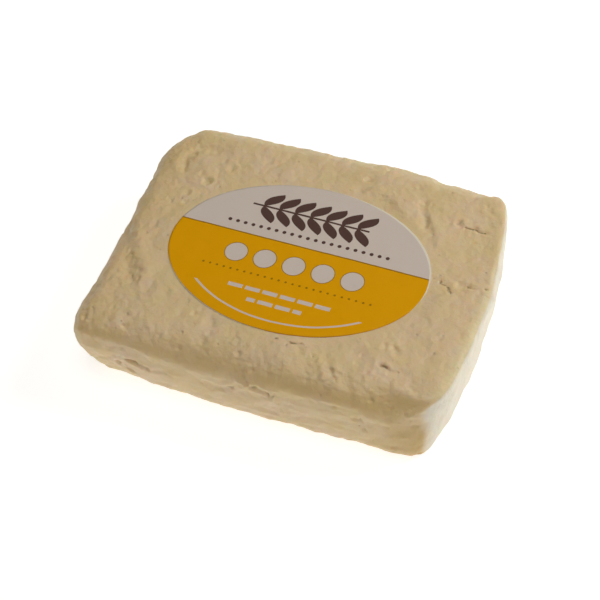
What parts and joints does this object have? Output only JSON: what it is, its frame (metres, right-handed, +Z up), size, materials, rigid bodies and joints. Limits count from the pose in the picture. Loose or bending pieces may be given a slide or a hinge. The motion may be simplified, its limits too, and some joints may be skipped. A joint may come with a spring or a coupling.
{
  "type": "paneer block",
  "caption": "Pressed block of fresh white cheese with soft rounded edges, one cut side and an oval two-tone paper label on its top face.",
  "frame": {"origin": "middle of the base, on the surface that the block lies on", "axes": "+X along the block's length towards the cut side, -Y towards the front, +Z up through the label"},
  "size_m": [0.1074, 0.0828, 0.0234],
  "materials": {
    "cheese": "soft satin, moist, slightly translucent",
    "label_paper": "matt printed paper, pale upper field and yellow lower field"
  },
  "bodies": {
    "root": {"paneer_block": "cheese", "label": "label_paper"}
  },
  "joints": []
}
